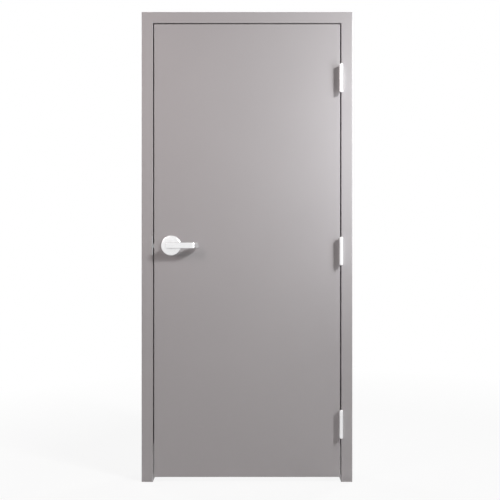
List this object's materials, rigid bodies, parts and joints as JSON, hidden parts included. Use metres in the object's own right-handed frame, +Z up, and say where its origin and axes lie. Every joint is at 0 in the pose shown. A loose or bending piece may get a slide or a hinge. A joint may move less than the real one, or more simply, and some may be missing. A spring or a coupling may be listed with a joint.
{
  "type": "fire door",
  "caption": "Flush steel fire door leaf hung on butt hinges in a pressed steel frame, with a lever on a round rose that works a spring latch.",
  "frame": {"origin": "centre of the underside of the floor anchor in the hinge jamb, on the floor", "axes": "+X to the right seen from the pull side, +Y from the pull side into the wall, +Z up"},
  "size_m": [0.934, 0.206, 2.082],
  "materials": {
    "frame_paint": "satin",
    "leaf_paint": "satin",
    "hinge_steel": "satin",
    "lever_steel": "satin",
    "latch_steel": "satin",
    "strike_steel": "satin",
    "inner_steel": "matte",
    "core_board": "matte",
    "silencer_rubber": "matte"
  },
  "bodies": {
    "frame": {"hinge_jamb": "frame_paint", "strike_jamb": "frame_paint", "frame_head": "frame_paint", "top_hinge_frame_plate": "hinge_steel", "middle_hinge_frame_plate": "hinge_steel", "bottom_hinge_frame_plate": "hinge_steel", "top_hinge_pin": "hinge_steel", "middle_hinge_pin": "hinge_steel", "bottom_hinge_pin": "hinge_steel", "top_hinge_reinforcement": "inner_steel", "middle_hinge_reinforcement": "inner_steel", "bottom_hinge_reinforcement": "inner_steel", "hinge_jamb_wall_anchor_1": "inner_steel", "hinge_jamb_wall_anchor_2": "inner_steel", "hinge_jamb_wall_anchor_3": "inner_steel", "hinge_jamb_wall_anchor_4": "inner_steel", "strike_jamb_wall_anchor_1": "inner_steel", "strike_jamb_wall_anchor_2": "inner_steel", "strike_jamb_wall_anchor_3": "inner_steel", "strike_jamb_wall_anchor_4": "inner_steel", "hinge_jamb_floor_anchor": "inner_steel", "strike_jamb_floor_anchor": "inner_steel", "strike_plate": "strike_steel", "strike_reinforcement": "inner_steel", "strike_guard_box": "inner_steel", "top_silencer": "silencer_rubber", "middle_silencer": "silencer_rubber", "bottom_silencer": "silencer_rubber"},
    "leaf": {"leaf_front_pan": "leaf_paint", "leaf_back_pan": "leaf_paint", "leaf_top_channel": "leaf_paint", "leaf_bottom_channel": "leaf_paint", "leaf_core": "core_board", "top_hinge_leaf_plate": "hinge_steel", "middle_hinge_leaf_plate": "hinge_steel", "bottom_hinge_leaf_plate": "hinge_steel", "outside_rose": "lever_steel", "inside_rose": "lever_steel", "lock_body": "latch_steel", "latch_faceplate": "latch_steel"},
    "levers": {"outside_lever": "lever_steel", "inside_lever": "lever_steel", "lever_spindle": "latch_steel"},
    "latch": {"latch_bolt": "latch_steel"}
  },
  "joints": [
    {"name": "leaf_swing", "type": "hinge", "parent": "frame", "child": "leaf", "pos_m": [-0.0275, -0.092, 1.022], "axis": [0, 0, 1], "range_deg": [0, 175]},
    {"name": "lever_turn", "type": "hinge", "parent": "leaf", "child": "levers", "pos_m": [-0.778, -0.073, 1.047], "axis": [0, 1, 0], "range_deg": [0, 45], "stiffness_Nm_per_rad": 1.5, "springref_deg": -34.38},
    {"name": "latch_slide", "type": "slide", "parent": "leaf", "child": "latch", "axis": [1, 0, 0], "range_m": [0, 0.0127]}
  ],
  "couplings": [
    {"joint": "latch_slide", "follows": "lever_turn", "m_per_rad": 0.01617}
  ]
}
